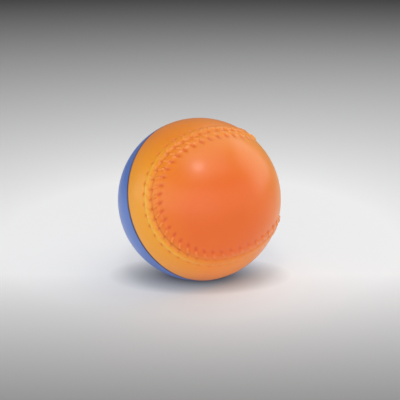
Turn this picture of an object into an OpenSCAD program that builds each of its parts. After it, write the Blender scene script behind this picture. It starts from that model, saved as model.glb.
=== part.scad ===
// Soft two-colour baseball with a moulded seam, lying as it was photographed.
// The origin is the ball's centre, +Z is up, and the orange half faces -Y.

/* [Ball] */
// Diameter over the smooth panels
ball_d = 63.5; // [50:0.5:80]
// Thickness of the two coloured covers
cover_t = 2.4; // [1.2:0.1:4]
// Clearance between the covers and the foam core
core_gap = 0.1; // [0.05:0.05:0.3]

/* [Parting line] */
// Width of the bonded line between the two covers
bond_w = 0.3; // [0.1:0.05:0.6]
// Depth of the bond under the covers' surface
bond_depth = 0.35; // [0.1:0.05:0.8]

/* [Seam route] */
// Tilt of the whole seam against the parting plane
seam_tilt = 11.2; // [0:0.1:16]
// Angle by which the lobe of either half leans off the seam's own pole
lobe_lean = 10.3; // [5:0.1:16]
// Angular radius of the lobe of either half
lobe_polar = 45.7; // [42:0.1:48]
// Angle by which each side lobe leans off the seam's own side
side_lean = 17.8; // [12:0.1:24]
// Angular radius of each side lobe
side_polar = 40.1; // [36:0.1:42]

/* [Seam section] */
// Distance from the seam's middle to the crest of the rib on either side
rib_offset = 1.85; // [1.5:0.05:2.2]
// Radius of a rib's round section
rib_r = 2.4; // [1.6:0.05:3]
// Height of a rib over the panels
rib_h = 0.44; // [0.2:0.02:0.7]
// Width of the groove along the seam's middle
groove_w = 0.6; // [0.3:0.05:0.9]

/* [Stitches] */
// Spacing of the stitches along the seam
stitch_pitch = 3.6; // [2.8:0.05:5]
// Width of a stitch's leg
stitch_w = 1.6; // [1:0.05:1.8]
// Height of a leg over the rib that it crosses
stitch_h = 0.35; // [0.2:0.05:0.6]
// Slant of a leg from square across the seam
stitch_slant = 28; // [0:1:35]
// Clearance between a leg and the cover under it
stitch_gap = 0.06; // [0.04:0.01:0.15]
// Distance from the seam's middle to the pit at a leg's outer end
pit_offset = 3.65; // [3.3:0.05:4.2]
// Radius of a pit
pit_r = 0.45; // [0.2:0.05:0.6]

/* [Lie] */
// How far the orange pole points up from the front
face_tilt = 22.9; // [0:0.1:60]
// Turn of the ball about the orange pole
face_spin = 5.3; // [-45:0.1:45]

/* [Hidden] */
$fn = 64;
orange = [0.91, 0.43, 0.21];
blue = [0.24, 0.33, 0.68];
foam = [0.95, 0.9, 0.78];
bond_brown = [0.36, 0.2, 0.14];

ball_r = ball_d / 2;
cover_inner_r = ball_r - cover_t;
rib_centre_r = ball_r + rib_h - rib_r;
leg_r = rib_r + stitch_gap;
// A leg's crown is an arc over its width, and its ends come down to the panels
crown_r = (pow(stitch_w / 2, 2) + pow(stitch_h, 2)) / (2 * stitch_h);
leg_wrap = acos((leg_r - rib_h) / leg_r);
// Before it is cut to fit, a leg sinks into its rib, and the cutting rod reaches past its width
leg_sunk = 0.3;
leg_reach = 4 * stitch_w;
rib_angle = rib_offset / ball_r * 180 / PI;
pit_angle = pit_offset / ball_r * 180 / PI;
// A pit lies on its leg's slanted line, behind the middle of the stitch
pit_back = (pit_offset - rib_offset) * tan(stitch_slant) / ball_r * 180 / PI;
// Side of the block that cuts a cover off at the parting plane
cut_size = 1.2 * ball_d;
// How far a straight run of the seam laps over the round ones, and how much fatter it is
lap_angle = 0.6;
lap_fatter = 0.03;
// How far each half of the seam runs on past its ends, to be cut off at the parting plane
end_angle = 2 * seam_tilt + 5;

function unit(v) = v / norm(v);
function flat(v, a) = unit(v - a * (v * a));
function flip_y(v) = [v.x, -v.y, v.z];
function turn(a, from, to) = atan2(a * cross(from, to), from * to);

// In the mould's own axes the orange pole is +Z and the parting plane is XY.
// The seam's own axes are tilted against these about Y. Each half of the seam runs there
// from one side lobe over the colour's own lobe to the other side lobe.
lobe = [-sin(lobe_lean), 0, cos(lobe_lean)];
side = [sin(side_lean), cos(side_lean), 0];
side_far = [cos(side_lean), -sin(side_lean), 0];
// The straight run between two lobes is a great circle that touches both
lean_dot = lobe * side;
lobe_share = (sin(lobe_polar) + lean_dot * sin(side_polar)) / (1 - pow(lean_dot, 2));
side_share = (sin(side_polar) + lean_dot * sin(lobe_polar)) / (1 - pow(lean_dot, 2));
between = lobe_share * lobe - side_share * side;
bridge = between + sqrt(1 - between * between) * unit(cross(side, lobe));
bridge_back = flip_y(bridge);
side_end = flat(side, bridge);
lobe_start = flat(lobe, bridge);

// Each run turns about its axis, which lies on the left, the lobe panel's side
runs = [
    [-side, 180 - side_polar, side_far, flat(side_end, side)],
    [bridge, 90, side_end, lobe_start],
    [lobe, lobe_polar, flat(lobe_start, lobe), flat(flip_y(lobe_start), lobe)],
    [bridge_back, 90, flip_y(lobe_start), flip_y(side_end)],
    [-flip_y(side), 180 - side_polar, flip_y(flat(side_end, side)), flip_y(side_far)]
];
function axis_of(i) = runs[i][0];
function polar_of(i) = runs[i][1];
function start_of(i) = runs[i][2];
function sweep_of(i) = let (a = turn(axis_of(i), start_of(i), runs[i][3])) a < 0 ? a + 360 : a;
function length_of(i) = ball_r * sin(polar_of(i)) * sweep_of(i) * PI / 180;
function length_to(i) = i == 0 ? 0 : length_to(i - 1) + length_of(i - 1);
half_length = length_to(len(runs));
stitches = round(half_length / stitch_pitch);
pitch = half_length / stitches;
spare_stitches = floor(end_angle / sweep_of(0) * length_of(0) / pitch);
function run_at(s, i = 0) = i == len(runs) - 1 || s < length_to(i + 1) ? i : run_at(s, i + 1);
function angle_at(s, i) = (s - length_to(i)) / length_of(i) * sweep_of(i);
function seam_spot(i, angle) =
    cos(polar_of(i)) * axis_of(i)
    + sin(polar_of(i)) * (cos(angle) * start_of(i) + sin(angle) * cross(axis_of(i), start_of(i)));

// way is 1 for the orange half and -1 for the blue one, which the seam's tilt carries the other way.
// A stitch belongs to the half whose side of the parting plane it stands on.
function height_of(spot, way) = spot.x * sin(way * seam_tilt) + spot.z * cos(seam_tilt);
function stands_on(n, way) =
    let (i = run_at(n * pitch)) height_of(seam_spot(i, angle_at(n * pitch, i)), way) > 0;
function own_stitches(way) = [
    for (n = [-spare_stitches : stitches + spare_stitches])
        if (stands_on(n, way)) n
];

module tilted(way) {
    rotate([0, -way * seam_tilt, 0])
        children();
}

module in_run(i) {
    a = axis_of(i);
    e = start_of(i);
    f = cross(a, e);
    multmatrix([[e.x, f.x, a.x, 0], [e.y, f.y, a.y, 0], [e.z, f.z, a.z, 0], [0, 0, 0, 1]])
        children();
}

// Sweeps a section along the whole half seam. In the section +X is out and +Y is to the lobe's side.
// Every second run is a straight one, which laps over the ends of the round ones.
module along_seam() {
    last = len(runs) - 1;
    for (i = [0 : last]) {
        straight = i % 2;
        $fatter = straight * lap_fatter;
        before = i == 0 ? end_angle : straight * lap_angle;
        after = i == last ? end_angle : straight * lap_angle;
        in_run(i)
            rotate([0, 0, -before])
                rotate_extrude(angle = before + sweep_of(i) + after)
                    rotate(90 - polar_of(i))
                        children();
    }
}

// Puts its children at one stitch. +X is out, +Y is to the lobe's side and +Z is back along the seam
module at_stitch(n) {
    i = run_at(n * pitch);
    in_run(i)
        rotate([0, 0, angle_at(n * pitch, i)])
            rotate([90, 0, 0])
                rotate([0, 0, 90 - polar_of(i)])
                    children();
}

module rib_section(row) {
    rotate(row * rib_angle)
        translate([rib_centre_r, 0])
            circle(rib_r + $fatter);
}

module groove_section() {
    translate([ball_r, 0])
        circle(groove_w / 2 + $fatter);
}

// Crowned bar bent over a rib, thick enough to sink into it. +X is out and +Z is back along the seam
module leg_bar() {
    rotate([0, 0, -leg_wrap])
        rotate_extrude(angle = 2 * leg_wrap)
            translate([leg_r, 0])
                intersection() {
                    translate([stitch_h - crown_r, 0])
                        circle(crown_r);
                    translate([-leg_sunk, -stitch_w / 2])
                        square([leg_sunk + stitch_h, stitch_w]);
                }
}

// The part of a bar that shows over the rib and the panels
module stitch_leg(slant) {
    difference() {
        rotate([slant, 0, 0])
            leg_bar();
        cylinder(h = leg_reach, r = rib_r + stitch_gap, center = true);
        translate([-rib_centre_r, 0, 0])
            sphere(ball_r + stitch_gap);
    }
}

// row is 1 on the lobe panel's side of the seam and -1 on the wrapping panel's side
module stitch_row(row, way) {
    tilted(way)
        for (n = own_stitches(way))
            at_stitch(n)
                rotate([0, 0, row * rib_angle])
                    translate([rib_centre_r, 0, 0])
                        stitch_leg(row * stitch_slant);
}

module pits(way) {
    for (n = own_stitches(way), row = [-1, 1])
        at_stitch(n)
            rotate([0, -pit_back, row * pit_angle])
                translate([ball_r, 0, 0])
                    sphere(pit_r);
}

module half_cover(way) {
    difference() {
        union() {
            sphere(ball_r);
            tilted(way)
                for (row = [-1, 1])
                    along_seam()
                        rib_section(row);
        }
        sphere(cover_inner_r);
        translate([-cut_size / 2, -cut_size / 2, bond_w / 2 - cut_size])
            cube(cut_size);
        tilted(way) {
            along_seam()
                groove_section();
            pits(way);
        }
    }
}

// Turns the mould's axes into the lie of the photograph
module lie() {
    rotate([90 - face_tilt, 0, 0])
        rotate([0, 0, face_spin])
            children();
}

module blue_side() {
    lie()
        rotate([180, 0, 0])
            children();
}

module foam_core() {
    color(foam)
        sphere(cover_inner_r - core_gap);
}

module orange_cover() {
    color(orange)
        lie()
            half_cover(1);
}

module blue_cover() {
    color(blue)
        blue_side()
            half_cover(-1);
}

module parting_bond() {
    color(bond_brown)
        lie()
            rotate_extrude()
                translate([cover_inner_r, -bond_w / 2])
                    square([cover_t - bond_depth, bond_w]);
}

module orange_lobe_stitches() {
    color(orange)
        lie()
            stitch_row(1, 1);
}

module orange_wrap_stitches() {
    color(orange)
        lie()
            stitch_row(-1, 1);
}

module blue_lobe_stitches() {
    color(blue)
        blue_side()
            stitch_row(1, -1);
}

module blue_wrap_stitches() {
    color(blue)
        blue_side()
            stitch_row(-1, -1);
}

foam_core();
orange_cover();
blue_cover();
parting_bond();
orange_lobe_stitches();
orange_wrap_stitches();
blue_lobe_stitches();
blue_wrap_stitches();
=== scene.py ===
import math
import bpy
import numpy as np
from mathutils import Matrix, Vector


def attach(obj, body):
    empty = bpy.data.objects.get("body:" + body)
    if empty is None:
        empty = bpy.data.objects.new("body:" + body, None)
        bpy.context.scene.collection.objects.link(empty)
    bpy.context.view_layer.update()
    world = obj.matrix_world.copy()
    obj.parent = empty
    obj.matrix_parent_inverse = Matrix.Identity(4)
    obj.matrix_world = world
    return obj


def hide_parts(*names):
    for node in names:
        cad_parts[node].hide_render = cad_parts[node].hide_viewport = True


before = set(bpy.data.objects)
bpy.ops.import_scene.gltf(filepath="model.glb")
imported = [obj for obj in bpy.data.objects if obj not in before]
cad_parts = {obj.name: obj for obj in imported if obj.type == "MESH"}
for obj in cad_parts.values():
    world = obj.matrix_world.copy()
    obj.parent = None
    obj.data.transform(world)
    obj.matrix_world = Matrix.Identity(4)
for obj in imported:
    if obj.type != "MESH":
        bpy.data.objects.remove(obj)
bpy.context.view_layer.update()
mm = 0.001
scene = bpy.context.scene
scene.view_settings.view_transform = "Standard"
print("frame loaded:", len(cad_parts), "nodes")

# The ball and its seam, in mm and degrees. In the mould's axes the orange pole is +Z
# and the parting plane is XY. The seam's own axes are tilted against these about Y.
ball = {
    "radius": 31.75,
    "faceTilt": 22.9,  # how far the orange pole looks up
    "faceSpin": 5.3,  # about that pole
    "seamTilt": 11.2,
    "lobeLean": 10.3,  # where the lobe's circle has its pole, and how wide it is
    "lobePolar": 45.7,
    "sideLean": 17.8,  # the same for the circles at the two sides
    "sidePolar": 40.1,
    "pastEnd": 27,  # how far each half of the seam runs on past its ends
    "overlap": 0.02,  # radians by which one run of the seam reaches into the next
    "stitches": 44,  # on each half
    "spareStitches": 3,  # tried past each end of the seam
}


def unit(v):
    return v / np.linalg.norm(v)


def squareTo(v, axis):
    return unit(v - axis * (v @ axis))


def acrossY(v):
    return v * np.array([1, -1, 1])


def seamRuns():
    lobeLean = math.radians(ball["lobeLean"])
    sideLean = math.radians(ball["sideLean"])
    lobePolar = math.radians(ball["lobePolar"])
    sidePolar = math.radians(ball["sidePolar"])
    lobe = np.array([-math.sin(lobeLean), 0, math.cos(lobeLean)])
    side = np.array([math.sin(sideLean), math.cos(sideLean), 0])
    sideFar = np.array([math.cos(sideLean), -math.sin(sideLean), 0])
    # a straight run is a great circle that touches the lobe's circle and a side circle
    dot = lobe @ side
    lobeShare = (math.sin(lobePolar) + dot * math.sin(sidePolar)) / (1 - dot ** 2)
    sideShare = (math.sin(sidePolar) + dot * math.sin(lobePolar)) / (1 - dot ** 2)
    between = lobeShare * lobe - sideShare * side
    bridge = between + math.sqrt(1 - between @ between) * unit(np.cross(side, lobe))
    sideEnd = squareTo(side, bridge)
    lobeStart = squareTo(lobe, bridge)
    rows = [
        (-side, math.pi - sidePolar, sideFar, squareTo(sideEnd, side)),
        (bridge, math.pi / 2, sideEnd, lobeStart),
        (lobe, lobePolar, squareTo(lobeStart, lobe), squareTo(acrossY(lobeStart), lobe)),
        (acrossY(bridge), math.pi / 2, acrossY(lobeStart), acrossY(sideEnd)),
        (-acrossY(side), math.pi - sidePolar, acrossY(squareTo(sideEnd, side)), acrossY(sideFar)),
    ]
    runs = []
    reached = 0
    for axis, angle, start, end in rows:
        sweep = math.atan2(axis @ np.cross(start, end), start @ end) % (2 * math.pi)
        length = ball["radius"] * math.sin(angle) * sweep
        runs.append({
            "axis": axis,
            "polar": angle,
            "start": start,
            "quarter": np.cross(axis, start),
            "sweep": sweep,
            "length": length,
            "from": reached,
        })
        reached += length
    return runs, reached


seamRoute, halfLength = seamRuns()
pitch = halfLength / ball["stitches"]
print("seam:", round(halfLength, 2), "mm on each half, a stitch every", round(pitch, 3), "mm")


# Turns the seam's axes into the mould's. The way is 1 on the orange half and -1 on the blue one.
def seamTurn(way):
    return Matrix.Rotation(math.radians(-way * ball["seamTilt"]), 4, "Y")


# Distance across the seam, positive towards the lobe, and distance along it, in mm
def seamPlace(moulded, way):
    outward = moulded @ np.array(seamTurn(way).to_3x3())
    across = np.full(len(outward), np.inf)
    along = np.zeros(len(outward))
    pastEnd = math.radians(ball["pastEnd"])
    for run in seamRoute:
        away = run["polar"] - np.arccos(np.clip(outward @ run["axis"], -1, 1))
        away = away * ball["radius"]
        turn = np.arctan2(outward @ run["quarter"], outward @ run["start"])
        turn = np.mod(turn + 1, 2 * math.pi) - 1  # from a radian before the run's start
        before = pastEnd if run is seamRoute[0] else ball["overlap"]
        after = pastEnd if run is seamRoute[-1] else ball["overlap"]
        inRun = (turn > -before) & (turn < run["sweep"] + after)
        nearer = inRun & (np.abs(away) < np.abs(across))
        across[nearer] = away[nearer]
        along[nearer] = run["from"] + turn[nearer] / run["sweep"] * run["length"]
    # far from the seam, whatever lies in a side circle is on the wrap
    for run in (seamRoute[0], seamRoute[-1]):
        inSide = outward @ run["axis"] < math.cos(run["polar"])
        across[inSide] = -np.abs(across[inSide])
    return across, along


# Axes of one stitch: out, to the lobe's side, and back along the seam
def stitchAxes(number, way):
    place = number * pitch
    run = [r for r in seamRoute if place >= r["from"] or r is seamRoute[0]][-1]
    turn = (place - run["from"]) / run["length"] * run["sweep"]
    ring = math.cos(turn) * run["start"] + math.sin(turn) * run["quarter"]
    out = math.cos(run["polar"]) * run["axis"] + math.sin(run["polar"]) * ring
    forward = unit(np.cross(run["axis"], out))
    axes = Matrix(np.stack([out, np.cross(out, forward), -forward], 1).tolist()).to_4x4()
    return seamTurn(way) @ axes


# A stitch belongs to the half whose side of the parting plane it stands on
def ownStitches(way):
    spare = ball["spareStitches"]
    axes = [stitchAxes(number, way) for number in range(-spare, ball["stitches"] + spare + 1)]
    return [place for place in axes if place[2][0] > 0]


tiltUp = Matrix.Rotation(math.radians(90 - ball["faceTilt"]), 4, "X")
orangeLie = tiltUp @ Matrix.Rotation(math.radians(ball["faceSpin"]), 4, "Z")
blueLie = orangeLie @ Matrix.Rotation(math.pi, 4, "X")

# Moulded seam in section, mm
relief = {
    "ribCrest": 1.85,  # from the seam's middle to the crest of either rib
    "ribHalf": 1.7,
    "ribHeight": 0.38,
    "ribFlat": 4,  # the higher, the flatter its top
    "lobeShare": 0.66,  # height of the lobe's rib as a share of the wrap's
    "grooveHalf": 0.4,
    "grooveDepth": 0.12,
    "pitOut": 3.65,  # from the seam's middle
    "lobePitLong": 1.1,  # half lengths and half width
    "wrapPitLong": 0.55,
    "pitWide": 0.6,
    "pitDepth": 0.34,
    "knotOff": 0.15,  # where the two legs of a stitch meet, to the wrap's side of the middle
    "knotWide": 0.75,
    "knotLong": 0.75,
    "knotDepth": 0.26,
    "slant": 28,  # degrees, of a stitch's legs
    "highlightOut": 2.6,  # where the painted highlight lies on the outer rib's flank
    "highlightHalf": 0.75,
    "panelBlend": 4.0,  # over which the paint changes from one panel to the other
    "faintFrom": -0.78,  # the moulding is fainter towards -Y, in radii
    "faintTo": -0.48,
    "faintest": 0.25,
}
slantSin = math.sin(math.radians(relief["slant"]))
slantCos = math.cos(math.radians(relief["slant"]))


def ribRise(across):
    off = np.clip((np.abs(across) - relief["ribCrest"]) / relief["ribHalf"], -1, 1)
    height = relief["ribHeight"] * np.where(across > 0, relief["lobeShare"], 1)
    return height * (1 - off ** relief["ribFlat"]) ** 2


# How sharply the seam is moulded, by the direction out of the ball
def sharpness(outward):
    share = (outward[:, 1] - relief["faintFrom"]) / (relief["faintTo"] - relief["faintFrom"])
    return relief["faintest"] + (1 - relief["faintest"]) * np.clip(share, 0, 1)


def grooveCut(across):
    return np.exp(-(across / relief["grooveHalf"]) ** 2)


# A pit lies on its leg's slanted line, behind the middle of the stitch
def pitCut(across, along):
    out = np.abs(across) - relief["pitOut"]
    back = (relief["pitOut"] - relief["ribCrest"]) * slantSin / slantCos
    on = np.mod(along + back + pitch / 2, pitch) - pitch / 2
    half = np.where(across > 0, relief["lobePitLong"], relief["wrapPitLong"])
    lengthwise = (out * slantCos - on * slantSin) / half
    sideways = (out * slantSin + on * slantCos) / relief["pitWide"]
    return np.exp(-(lengthwise ** 2 + sideways ** 2))


# The dent where a stitch's two legs dive into the seam
def knotCut(across, along):
    ahead = relief["ribCrest"] * slantSin / slantCos
    on = np.mod(along - ahead + pitch / 2, pitch) - pitch / 2
    sideways = (across + relief["knotOff"]) / relief["knotWide"]
    return np.exp(-(sideways ** 2 + (on / relief["knotLong"]) ** 2))


# 0 on the lobe's panel, 1 on the panel that wraps round it
def wrapShare(across):
    return np.clip(0.5 - across / relief["panelBlend"], 0, 1)


# A painted highlight along the outer flank of the wrap's rib
def ribFlankHighlight(across):
    return np.exp(-((across + relief["highlightOut"]) / relief["highlightHalf"]) ** 2)


def onlySelect(obj):
    bpy.ops.object.select_all(action="DESELECT")
    obj.select_set(True)
    bpy.context.view_layer.objects.active = obj


def editMode(obj):
    onlySelect(obj)
    bpy.ops.object.mode_set(mode="EDIT")


def objectMode():
    bpy.ops.object.mode_set(mode="OBJECT")


def pointsOf(obj):
    flat = np.empty(len(obj.data.vertices) * 3, np.float32)
    obj.data.vertices.foreach_get("co", flat)
    return flat.reshape(-1, 3).astype(float)


def setPoints(obj, points):
    obj.data.vertices.foreach_set("co", points.astype(np.float32).ravel())
    obj.data.update()


def chooseFaces(obj, chosen):
    mesh = obj.data
    mesh.vertices.foreach_set("select", np.zeros(len(mesh.vertices), bool))
    mesh.edges.foreach_set("select", np.zeros(len(mesh.edges), bool))
    mesh.polygons.foreach_set("select", chosen)


def faceMiddles(obj):
    flat = np.empty(len(obj.data.polygons) * 3, np.float32)
    obj.data.polygons.foreach_get("center", flat)
    return flat.reshape(-1, 3).astype(float)


def outwardOf(points):
    return points / np.linalg.norm(points, axis=1)[:, None]


def paint(obj, name, values):
    layer = obj.data.attributes.new(name, "FLOAT", "POINT")
    layer.data.foreach_set("value", values.astype(np.float32))


# A ball of even square faces, from a cube
def squareBall(name, radius, cuts):
    bpy.ops.object.select_all(action="DESELECT")
    bpy.ops.mesh.primitive_cube_add(size=2)
    obj = bpy.context.object
    obj.name = name
    obj.data.name = name
    bpy.ops.object.mode_set(mode="EDIT")
    bpy.ops.mesh.select_all(action="SELECT")
    bpy.ops.mesh.subdivide(number_cuts=cuts)
    objectMode()
    setPoints(obj, outwardOf(np.tan(pointsOf(obj) * math.pi / 4)) * radius * mm)
    return obj


cover = {
    "cuts": 37,
    "fineReach": (6.0, 5.3, 4.8),  # mm either side of the seam, halving the faces each time
    "rimReach": (2.2, 1.3, 0.8),  # mm from the parting line
    "wall": 2.4,
    "bondHalf": 0.15,
    "gapReach": 3,  # over which the skin makes room for the bond
    "onRim": 0.001,  # what still counts as on the rim
    "rimRound": 0.34,
    "rimDrop": 0.2,
    "rimStain": 1.0,
    "grooveShadeTone": 0.5,  # how strong the painted shade in the groove is, as a share of that in the dents
    "innerRings": 9,
}


def makeCover(name, node, lie, way):
    radius = ball["radius"]
    obj = squareBall(name, radius, cover["cuts"])
    editMode(obj)
    bpy.ops.mesh.select_all(action="SELECT")
    bpy.ops.mesh.bisect(plane_co=(0, 0, 0), plane_no=(0, 0, 1), clear_inner=True)
    bpy.ops.mesh.select_mode(type="FACE")
    objectMode()
    # finer faces along the seam and the parting line
    for seamReach, rimReach in zip(cover["fineReach"], cover["rimReach"]):
        middles = faceMiddles(obj) / mm
        across = seamPlace(outwardOf(middles), way)[0]
        chooseFaces(obj, (np.abs(across) < seamReach) | (middles[:, 2] < rimReach))
        editMode(obj)
        bpy.ops.mesh.subdivide(number_cuts=1, ngon=False)
        objectMode()
        setPoints(obj, outwardOf(pointsOf(obj)) * radius * mm)

    # open the gap of the bond, then press the seam into the skin
    points = pointsOf(obj) / mm
    half = cover["bondHalf"]
    low = np.clip(points[:, 2], 0, cover["gapReach"])
    points[:, 2] += half * (1 - low / cover["gapReach"])
    outward = outwardOf(points)
    across, along = seamPlace(outward, way)
    sharp = sharpness(outward)
    groove = grooveCut(across) * sharp
    pit = pitCut(across, along) * sharp
    knot = knotCut(across, along) * sharp
    fromRim = np.clip((points[:, 2] - half) / cover["rimRound"], 0, 1)
    height = ribRise(across) * sharp - relief["grooveDepth"] * groove - relief["pitDepth"] * pit
    height = height - relief["knotDepth"] * knot - cover["rimDrop"] * (1 - fromRim) ** 2
    skin = outward * (radius + height)[:, None]
    rim = np.abs(points[:, 2] - half) < cover["onRim"]
    skin[rim, 2] = half
    setPoints(obj, skin * mm)

    # the rim and the inner wall, ring by ring to the inner pole
    inner = radius - cover["wall"]
    outerCount = len(skin)
    editMode(obj)
    bpy.ops.mesh.select_mode(type="EDGE")
    bpy.ops.mesh.select_all(action="DESELECT")
    bpy.ops.mesh.select_non_manifold(extend=False)
    turns = np.linspace(math.asin(half / inner), math.pi / 2, cover["innerRings"] + 1)[:-1]
    for rise in turns:
        bpy.ops.mesh.extrude_edges_move()
        objectMode()
        points = pointsOf(obj) / mm
        ring = np.zeros(len(points), bool)
        obj.data.vertices.foreach_get("select", ring)
        flat = outwardOf(points[ring] * np.array([1, 1, 0]))
        points[ring] = flat * inner * math.cos(rise)
        points[ring, 2] = inner * math.sin(rise)
        setPoints(obj, points * mm)
        bpy.ops.object.mode_set(mode="EDIT")
    bpy.ops.mesh.merge(type="CENTER")
    objectMode()
    points = pointsOf(obj) / mm
    pole = np.argmin(np.abs(points[outerCount:, 0]) + np.abs(points[outerCount:, 1])) + outerCount
    points[pole] = (0, 0, inner)
    setPoints(obj, points * mm)

    blank = np.zeros(len(points) - outerCount)
    # painted shade in the stitch holes
    paint(obj, "pit", np.append(pit, blank))
    # painted shade in the groove and in the dents where the stitches dive in
    paint(obj, "groove", np.append(np.maximum(groove * cover["grooveShadeTone"], knot), blank))
    # painted highlight on the outer rib's flank
    paint(obj, "crest", np.append(ribFlankHighlight(across) * sharp, blank))
    paint(obj, "wrap", np.append(wrapShare(across), blank))
    stain = 1 - np.clip((points[:outerCount, 2] - half) / cover["rimStain"], 0, 1)
    paint(obj, "rim", np.append(stain, blank + 1))
    onlySelect(obj)
    bpy.ops.object.shade_smooth()
    obj.data.transform(lie)
    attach(obj, "root")
    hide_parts(node)
    print(name, "has", len(obj.data.polygons), "faces")
    return obj


stitch = {
    "inner": 0.4,  # mm from the seam's middle to a leg's two ends
    "lobeOuter": 2.9,
    "wrapOuter": 3.4,
    "halfWidth": 0.7,
    "taper": 0.35,  # how much narrower a leg is at its ends
    "taperPower": 3,
    "lobeHeight": 0.5,
    "wrapHeight": 0.18,
    "crownRound": 1.3,  # of its section
    "crownFlat": 4,  # along it, the higher the flatter
    "skirt": 0.06,  # how deep its edge sits in the skin
    "foot": 0.3,
    "wrapLumpShare": 0.3,  # how pale the wrap's legs are on top beside the lobe's: rubbed wear and a painted highlight
    "alongFaces": 8,
    "acrossFaces": 6,
}


# One leg in its stitch's own axes: a crowned bar over the rib, with its edge run into the skin
def makeLeg(name, row):
    bpy.ops.object.select_all(action="DESELECT")
    bpy.ops.mesh.primitive_grid_add(
        x_subdivisions=stitch["alongFaces"], y_subdivisions=stitch["acrossFaces"], size=2
    )
    obj = bpy.context.object
    obj.name = name
    grid = pointsOf(obj)
    lengthwise = grid[:, 0]
    sideways = grid[:, 1] * row
    outer = stitch["lobeOuter"] if row > 0 else stitch["wrapOuter"]
    middle = (stitch["inner"] + outer) / 2
    run = (outer - stitch["inner"]) / 2
    wide = stitch["halfWidth"] * (1 - stitch["taper"] * np.abs(lengthwise) ** stitch["taperPower"])
    across = middle + run * lengthwise - sideways * wide * slantSin
    back = (middle + run * lengthwise - relief["ribCrest"]) * slantSin / slantCos
    back = back + sideways * wide * slantCos
    crown = (1 - sideways ** 2) ** stitch["crownRound"] * (1 - lengthwise ** stitch["crownFlat"])
    top = stitch["lobeHeight"] if row > 0 else stitch["wrapHeight"]
    height = (top + stitch["skirt"]) * crown - stitch["skirt"]
    skin = ball["radius"] + ribRise(row * across) - relief["grooveDepth"] * grooveCut(across)
    acrossTurn = row * across / ball["radius"]
    backTurn = back / ball["radius"]
    outward = np.stack([
        np.cos(acrossTurn) * np.cos(backTurn),
        np.sin(acrossTurn),
        np.cos(acrossTurn) * np.sin(backTurn),
    ], 1)
    setPoints(obj, outward * (skin + height)[:, None] * mm)
    # painted highlight on the outer rib's flank
    paint(obj, "crest", ribFlankHighlight(row * across))
    # paler stitch tops: rubbed wear and a painted highlight
    paint(obj, "lumpWearAndSheen", crown * (1 if row > 0 else stitch["wrapLumpShare"]))
    paint(obj, "wrap", wrapShare(row * across))
    # close it with a foot inside the skin
    bpy.ops.object.mode_set(mode="EDIT")
    bpy.ops.mesh.select_mode(type="EDGE")
    bpy.ops.mesh.select_all(action="DESELECT")
    bpy.ops.mesh.select_non_manifold(extend=False)
    bpy.ops.mesh.extrude_edges_move(TRANSFORM_OT_translate={"value": (-stitch["foot"] * mm, 0, 0)})
    bpy.ops.mesh.edge_face_add()
    bpy.ops.mesh.select_all(action="SELECT")
    bpy.ops.mesh.normals_make_consistent(inside=False)
    objectMode()
    return obj


# Where the moulding is faint, a leg stands as much lower as the rib under it, with less painted
# highlight and wear
def fadeLeg(obj):
    points = pointsOf(obj)
    outward = outwardOf(points)
    sharp = sharpness(outward)
    radius = ball["radius"] * mm
    over = np.linalg.norm(points, axis=1) - radius
    over = np.where(over > 0, over * sharp, over)
    setPoints(obj, outward * (radius + over)[:, None])
    for name in ("lumpWearAndSheen", "crest"):
        layer = obj.data.attributes[name]
        values = np.empty(len(points), np.float32)
        layer.data.foreach_get("value", values)
        layer.data.foreach_set("value", (values * sharp).astype(np.float32))


def makeStitches(name, node, leg, lie, way):
    copies = []
    for axes in ownStitches(way):
        copy = leg.copy()
        copy.data = leg.data.copy()
        copy.data.transform(axes)
        fadeLeg(copy)
        copy.data.transform(lie)
        scene.collection.objects.link(copy)
        copies.append(copy)
    bpy.ops.object.select_all(action="DESELECT")
    for copy in copies:
        copy.select_set(True)
    bpy.context.view_layer.objects.active = copies[0]
    bpy.ops.object.join()
    obj = bpy.context.object
    obj.name = name
    obj.data.name = name
    bpy.ops.object.shade_smooth()
    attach(obj, "root")
    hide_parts(node)
    print(name, "has", len(obj.data.polygons), "faces")
    return obj


foam = {
    "radius": 29.15,  # mm
    "cuts": 31,
    "cellSize": 1.6,
    "cellDepth": 0.12,
    "pale": (0.9, 0.82, 0.62, 1),
    "deep": (0.62, 0.5, 0.3, 1),
    "fineScale": 1400,
    "fineShare": 0.8,
    "cloudScale": 120,
    "cloudDetail": 3,
    "cloudShare": 0.3,
    "roughness": 0.85,
    "fineRough": 0.1,
    "bumpDepth": 0.0002,  # metres
    "bumpStrength": 0.6,
}


def makeFoamCore(name, node):
    obj = squareBall(name, foam["radius"], foam["cuts"])
    cells = bpy.data.textures.new("foamCells", "VORONOI")
    cells.noise_scale = foam["cellSize"] * mm
    press = obj.modifiers.new("cells", "DISPLACE")
    press.texture = cells
    press.texture_coords = "LOCAL"
    press.strength = foam["cellDepth"] * mm
    onlySelect(obj)
    bpy.ops.object.modifier_apply(modifier="cells")
    bpy.ops.object.shade_smooth()
    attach(obj, "root")
    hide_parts(node)
    return obj


orangeCover = makeCover("orangeCover", "orange_cover", orangeLie, 1)
blueCover = makeCover("blueCover", "blue_cover", blueLie, -1)
lobeLeg = makeLeg("lobeLeg", 1)
wrapLeg = makeLeg("wrapLeg", -1)
orangeLobe = makeStitches("orangeLobeStitches", "orange_lobe_stitches", lobeLeg, orangeLie, 1)
orangeWrap = makeStitches("orangeWrapStitches", "orange_wrap_stitches", wrapLeg, orangeLie, 1)
blueLobe = makeStitches("blueLobeStitches", "blue_lobe_stitches", lobeLeg, blueLie, -1)
blueWrap = makeStitches("blueWrapStitches", "blue_wrap_stitches", wrapLeg, blueLie, -1)
bpy.data.objects.remove(lobeLeg)
bpy.data.objects.remove(wrapLeg)
foamCore = makeFoamCore("foamCore", "foam_core")
print("pieces made")


# A link goes into a socket, and a plain value is set on it
def feed(tree, socket, value):
    if isinstance(value, Wire):
        tree.links.new(value.socket, socket)
    else:
        socket.default_value = value


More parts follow.
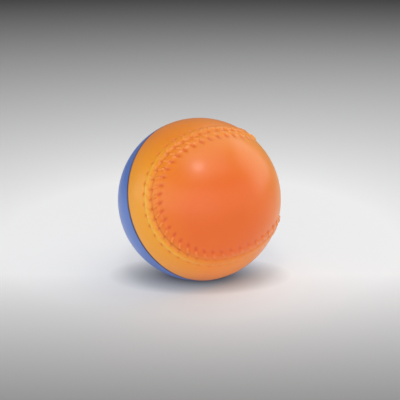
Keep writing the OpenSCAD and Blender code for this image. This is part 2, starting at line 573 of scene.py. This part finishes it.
# A socket that can be used in sums
class Wire:
    def __init__(self, tree, socket):
        self.tree = tree
        self.socket = socket

    def sum(self, operation, first, second):
        step = self.tree.nodes.new("ShaderNodeMath")
        step.operation = operation
        feed(self.tree, step.inputs[0], first)
        feed(self.tree, step.inputs[1], second)
        return Wire(self.tree, step.outputs[0])

    def log(self):
        return self.sum("LOGARITHM", self, math.e)

    def __add__(self, other):
        return self.sum("ADD", self, other)

    def __radd__(self, other):
        return self.sum("ADD", other, self)

    def __sub__(self, other):
        return self.sum("SUBTRACT", self, other)

    def __rsub__(self, other):
        return self.sum("SUBTRACT", other, self)

    def __mul__(self, other):
        return self.sum("MULTIPLY", self, other)

    def __rmul__(self, other):
        return self.sum("MULTIPLY", other, self)

    def __pow__(self, other):
        return self.sum("POWER", self, other)


# A material, and the nodes that its looks are made of
class Finish:
    def __init__(self, name):
        self.material = bpy.data.materials.new(name)
        self.material.use_nodes = True
        self.tree = self.material.node_tree
        self.shader = self.tree.nodes["Principled BSDF"]
        self.spot = self.node("ShaderNodeTexCoord", {}, {}, "Object")

    def node(self, kind, settings, sockets, output=0):
        made = self.tree.nodes.new(kind)
        for name, value in settings.items():
            setattr(made, name, value)
        for name, value in sockets.items():
            feed(self.tree, made.inputs[name], value)
        return Wire(self.tree, made.outputs[output])

    def set(self, sockets):
        for name, value in sockets.items():
            feed(self.tree, self.shader.inputs[name], value)

    def noise(self, scale, detail):
        sockets = {"Vector": self.spot, "Scale": scale, "Detail": detail}
        return self.node("ShaderNodeTexNoise", {}, sockets, "Fac")

    def cells(self, scale):
        sockets = {"Vector": self.spot, "Scale": scale}
        return self.node("ShaderNodeTexVoronoi", {"feature": "F1"}, sockets, "Distance")

    def painted(self, name):
        return self.node("ShaderNodeAttribute", {"attribute_name": name}, {}, "Fac")

    def ray(self, kind):
        return self.node("ShaderNodeLightPath", {}, {}, kind)

    # a Mix node keeps its colours in inputs 6 and 7 and in output 2
    def blend(self, share, first, second):
        return self.node("ShaderNodeMix", {"data_type": "RGBA"}, {0: share, 6: first, 7: second}, 2)

    # how far a point lies along a direction
    def towards(self, way):
        settings = {"operation": "DOT_PRODUCT"}
        return self.node("ShaderNodeVectorMath", settings, {0: self.spot, 1: way}, "Value")

    def ramp(self, value, start, end):
        sockets = {"Value": value, "From Min": start, "From Max": end}
        return self.node("ShaderNodeMapRange", {}, sockets)

    def bump(self, height, distance, strength):
        sockets = {"Height": height, "Distance": distance, "Strength": strength}
        return self.node("ShaderNodeBump", {}, sockets, "Normal")


# Each panel's colour turns paler away from its middle, the orange's also yellower, each its own way,
# in the mould's axes and in radii.
paintwork = {
    "wrapWay": (-1, 0, 0),
    "wrapFrom": 0.45,
    "wrapTo": 0.98,
    "wrapLeast": 0.46,
    "lobeWay": (0.337, 0.255, -0.906),
    "lobeFrom": -0.918,
    "lobeTo": -0.056,
}
skins = {
    "orange": {
        "central": (0.87, 0.148, 0.008, 1),
        "edgeward": (0.92, 0.38, 0.01, 1),
        "deep": (0.66, 0.085, 0.012, 1),
        "pale": (0.95, 0.52, 0.03, 1),
        "wornAndLit": (0.96, 0.3, 0.04, 1),
        # painted shade in the stitch holes
        "pit": (0.7, 0.06, 0.004, 1),
        "edge": (0.2, 0.05, 0.025, 1),
    },
    "blue": {
        "central": (0.06, 0.145, 0.53, 1),
        "edgeward": (0.075, 0.185, 0.6, 1),
        "deep": (0.025, 0.045, 0.23, 1),
        "pale": (0.1, 0.22, 0.62, 1),
        "wornAndLit": (0.12, 0.24, 0.64, 1),
        # painted shade in the stitch holes
        "pit": (0.015, 0.028, 0.16, 1),
        "edge": (0.05, 0.035, 0.06, 1),
    },
}
# The satin skin: how much of each tone shows, and how it takes the light
satin = {
    "cloudScale": 55,
    "cloudDetail": 3,
    "cloudShare": 0.16,
    "grainScale": 2600,
    "grainDetail": 2,
    "grainFrom": 0.35,
    "grainShare": 0.25,
    "crestShare": 0.12,
    "wrapHighlight": 0.5,  # added towards the wrap's side
    "lumpShare": 0.65,
    "grooveShadeShare": 0.35,
    "wrapGrooveShade": 0.5,
    "pitShadeShare": 0.65,
    "rimPower": 1.5,
    "rimShare": 0.95,
    "roughness": 0.3,
    "cloudRough": 0.14,
    "grainRough": 0.08,
    "specular": 0.52,
    "coat": 0.25,
    "coatRough": 0.2,
    "poreScale": 900,
    "poreBump": 0.3,
    "grainBump": 0.7,
    "bumpDepth": 0.00003,  # metres
    "bumpStrength": 0.35,
}


def skinFinish(name, tones, lie):
    skin = Finish(name)
    cloud = skin.noise(satin["cloudScale"], satin["cloudDetail"])
    grain = skin.noise(satin["grainScale"], satin["grainDetail"])
    pores = skin.cells(satin["poreScale"])
    reach = ball["radius"] * mm
    wrapWay = skin.towards(lie @ Vector(paintwork["wrapWay"]))
    lobeWay = skin.towards(lie @ Vector(paintwork["lobeWay"]))
    onWrap = skin.ramp(wrapWay, paintwork["wrapFrom"] * reach, paintwork["wrapTo"] * reach)
    onLobe = skin.ramp(lobeWay, paintwork["lobeFrom"] * reach, paintwork["lobeTo"] * reach)
    wrap = skin.painted("wrap")
    wrapEdgeward = paintwork["wrapLeast"] + onWrap * (1 - paintwork["wrapLeast"])
    edgeward = wrap * wrapEdgeward + (1 - wrap) * onLobe
    colour = skin.blend(edgeward + (cloud - 0.5) * satin["cloudShare"], tones["central"], tones["edgeward"])
    # each row lays one more tone over the colour so far
    layers = [
        ((grain - satin["grainFrom"]) * satin["grainShare"], "deep"),
        # a painted highlight along the outer rib's flank, pale
        (skin.painted("crest") * (satin["crestShare"] + onWrap * satin["wrapHighlight"]), "pale"),
        # the stitch tops are paler: rubbed wear and a painted highlight
        (skin.painted("lumpWearAndSheen") * satin["lumpShare"], "wornAndLit"),
        # painted shade in the groove and the dents, stronger towards the wrap's side
        (skin.painted("groove") * (satin["grooveShadeShare"] + onWrap * satin["wrapGrooveShade"]), "deep"),
        # painted shade in the stitch holes
        (skin.painted("pit") * satin["pitShadeShare"], "pit"),
        (skin.painted("rim") ** satin["rimPower"] * satin["rimShare"], "edge"),
    ]
    for share, tone in layers:
        colour = skin.blend(share, colour, tones[tone])
    rough = satin["roughness"] + cloud * satin["cloudRough"] + grain * satin["grainRough"]
    height = grain * satin["grainBump"] + pores * satin["poreBump"]
    skin.set({
        "Base Color": colour,
        "Roughness": rough,
        "Specular IOR Level": satin["specular"],
        "Coat Weight": satin["coat"],
        "Coat Roughness": satin["coatRough"],
        "Normal": skin.bump(height, satin["bumpDepth"], satin["bumpStrength"]),
    })
    return skin.material


def foamFinish(name):
    foamSkin = Finish(name)
    fine = foamSkin.cells(foam["fineScale"])
    cloud = foamSkin.noise(foam["cloudScale"], foam["cloudDetail"])
    share = fine * foam["fineShare"] + cloud * foam["cloudShare"]
    foamSkin.set({
        "Base Color": foamSkin.blend(share, foam["pale"], foam["deep"]),
        "Roughness": foam["roughness"] + fine * foam["fineRough"],
        "Normal": foamSkin.bump(fine, foam["bumpDepth"], foam["bumpStrength"]),
    })
    return foamSkin.material


bond = {
    "dark": (0.07, 0.026, 0.016, 1),
    "light": (0.17, 0.06, 0.035, 1),
    "streakScale": 700,
    "streakDetail": 3,
    "roughness": 0.5,
    "streakRough": 0.2,
    "bumpDepth": 0.00005,  # metres
    "bumpStrength": 0.5,
}


def bondFinish(name):
    glue = Finish(name)
    streak = glue.noise(bond["streakScale"], bond["streakDetail"])
    glue.set({
        "Base Color": glue.blend(streak, bond["dark"], bond["light"]),
        "Roughness": bond["roughness"] + streak * bond["streakRough"],
        "Normal": glue.bump(streak, bond["bumpDepth"], bond["bumpStrength"]),
    })
    return glue.material


def dress(obj, material):
    obj.data.materials.clear()
    obj.data.materials.append(material)


orangeSkin = skinFinish("orangeSkin", skins["orange"], orangeLie)
blueSkin = skinFinish("blueSkin", skins["blue"], blueLie)
for piece in (orangeCover, orangeLobe, orangeWrap):
    dress(piece, orangeSkin)
for piece in (blueCover, blueLobe, blueWrap):
    dress(piece, blueSkin)
dress(foamCore, foamFinish("foamFinish"))
dress(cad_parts["parting_bond"], bondFinish("bondFinish"))
print("finishes set")

view = {
    "azimuth": -36.2,
    "elevation": 18,
    "distance": 317.5,  # mm
    "lens": 73.03,
    "sensor": 36,
    "clip": (0.01, 50),  # metres
    "aim": (0.23, -0.27),  # mm right and up of the ball's middle
}


def fromBall(azimuth, elevation):
    a = math.radians(azimuth)
    e = math.radians(elevation)
    return Vector((math.sin(a) * math.cos(e), -math.cos(a) * math.cos(e), math.sin(e)))


stage = {
    "floorSize": 12,  # metres, as are the reaches
    "poolBehind": 0.05,  # how far behind the ball the painted pool of light on the floor is palest
    "nearReach": 0.09,
    "farReach": 1.5,
    "poolLit": (0.5, 0.5, 0.502, 1),
    "far": (0.045, 0.045, 0.045, 1),
    "frontFrom": 0.0,  # painted shade: in front of the ball the floor darkens and then clears again
    "frontMost": 0.1,
    "frontTo": 0.3,
    "sideFrom": 0.1,  # and it clears to both sides
    "sideTo": 0.3,
    "frontShadeShare": 0.65,
    "dark": (0.02, 0.02, 0.02, 1),
    "underWide": 0.024,  # half axes of the painted shadow under the ball
    "underDeep": 0.013,
    "underFrom": 0.4,  # shares of them, between which it fades
    "underTo": 1.55,
    "underShare": 0.5,
    "plain": (0.95, 0.95, 0.95, 1),  # what lights the ball from below
    "unlit": (0, 0, 0, 1),
    "glow": 0.84,
    "roughness": 0.9,
    "specular": 0.1,
}


def makeFloor():
    bpy.ops.object.select_all(action="DESELECT")
    bpy.ops.mesh.primitive_plane_add(size=stage["floorSize"], location=(0, 0, -ball["radius"] * mm))
    floor = bpy.context.object
    floor.name = "floor"
    sweep = Finish("floorSweep")
    ahead = sweep.towards(fromBall(view["azimuth"], 0))
    aside = sweep.towards(fromBall(view["azimuth"] + 90, 0))
    fromPoolMiddle = (aside ** 2 + (ahead + stage["poolBehind"]) ** 2) ** 0.5
    poolFall = sweep.ramp(fromPoolMiddle.log(), math.log(stage["nearReach"]), math.log(stage["farReach"]))
    rise = sweep.ramp(ahead, stage["frontFrom"], stage["frontMost"])
    clear = sweep.ramp(ahead, stage["frontMost"], stage["frontTo"])
    beside = sweep.ramp(aside ** 2, stage["sideFrom"] ** 2, stage["sideTo"] ** 2)
    # painted shade on the floor in front of the ball
    frontShade = rise * (1 - clear) * (1 - beside) * stage["frontShadeShare"]
    # painted pool of light: the floor is palest just behind the ball and darkens far away
    colour = sweep.blend(poolFall, stage["poolLit"], stage["far"])
    colour = sweep.blend(frontShade, colour, stage["dark"])
    # painted shadow: an ellipse under the ball where the floor's colour darkens and its glow goes
    # out
    under = (aside * (1 / stage["underWide"])) ** 2 + (ahead * (1 / stage["underDeep"])) ** 2
    outsideShadow = sweep.ramp(under ** 0.5, stage["underFrom"], stage["underTo"])
    withPaintedShadow = sweep.blend((1 - outsideShadow) * stage["underShare"], colour, stage["dark"])
    seen = sweep.ray("Is Camera Ray") + sweep.ray("Is Glossy Ray") + sweep.ray("Is Transmission Ray")
    # seen directly and in reflections, the floor glows with its painted pool of light and painted
    # shade, but not in the painted shadow
    sweep.set({
        "Base Color": sweep.blend(seen, stage["plain"], withPaintedShadow),
        "Roughness": stage["roughness"],
        "Specular IOR Level": stage["specular"],
        "Emission Color": sweep.blend(seen * outsideShadow, stage["unlit"], colour),
        "Emission Strength": stage["glow"],
    })
    floor.data.materials.append(sweep.material)


def makeCamera():
    back = fromBall(view["azimuth"], view["elevation"])
    turn = (-back).to_track_quat("-Z", "Y")
    lens = bpy.data.cameras.new("camera")
    lens.lens = view["lens"]
    lens.sensor_width = view["sensor"]
    lens.clip_start, lens.clip_end = view["clip"]
    camera = bpy.data.objects.new("camera", lens)
    aim = turn @ Vector((view["aim"][0], view["aim"][1], 0))
    camera.location = (back * view["distance"] + aim) * mm
    camera.rotation_mode = "QUATERNION"
    camera.rotation_quaternion = turn
    scene.collection.objects.link(camera)
    scene.camera = camera


# Softboxes round the ball: azimuth from the camera, elevation, distance and size in metres, glow
softboxes = {
    "keyBox": (-3, 62, 0.8, 0.15, 11.0),
    "frontBox": (0, 8, 0.9, 0.75, 1.1),
    "frontLeftBox": (-45, 8, 0.9, 0.75, 1.06),
    "frontRightBox": (45, 8, 0.9, 0.75, 0.6),
    "leftBox": (-85, 6, 0.9, 0.6, 1.3),
    "rightBox": (85, 5, 0.9, 0.6, 0.62),
    "rightRim": (115, 28, 0.9, 0.7, 1.35),
    "backBox": (150, 50, 0.9, 0.6, 0.75),
    "overBox": (25, 74, 0.9, 0.9, 1.02),
}
room = {"tone": (1, 1, 1, 1), "strength": 0.24}


def makeLights():
    for name, (azimuth, elevation, distance, size, glow) in softboxes.items():
        lamp = bpy.data.lights.new(name, "AREA")
        lamp.shape = "SQUARE"
        lamp.size = size
        lamp.energy = glow * math.pi * size * size
        box = bpy.data.objects.new(name, lamp)
        out = fromBall(view["azimuth"] + azimuth, elevation)
        box.location = out * distance
        box.rotation_mode = "QUATERNION"
        box.rotation_quaternion = (-out).to_track_quat("-Z", "Y")
        box.visible_camera = False
        scene.collection.objects.link(box)
    world = bpy.data.worlds.new("room")
    world.use_nodes = True
    backdrop = world.node_tree.nodes["Background"]
    backdrop.inputs["Color"].default_value = room["tone"]
    backdrop.inputs["Strength"].default_value = room["strength"]
    scene.world = world


makeFloor()
makeCamera()
makeLights()
print("stage set")
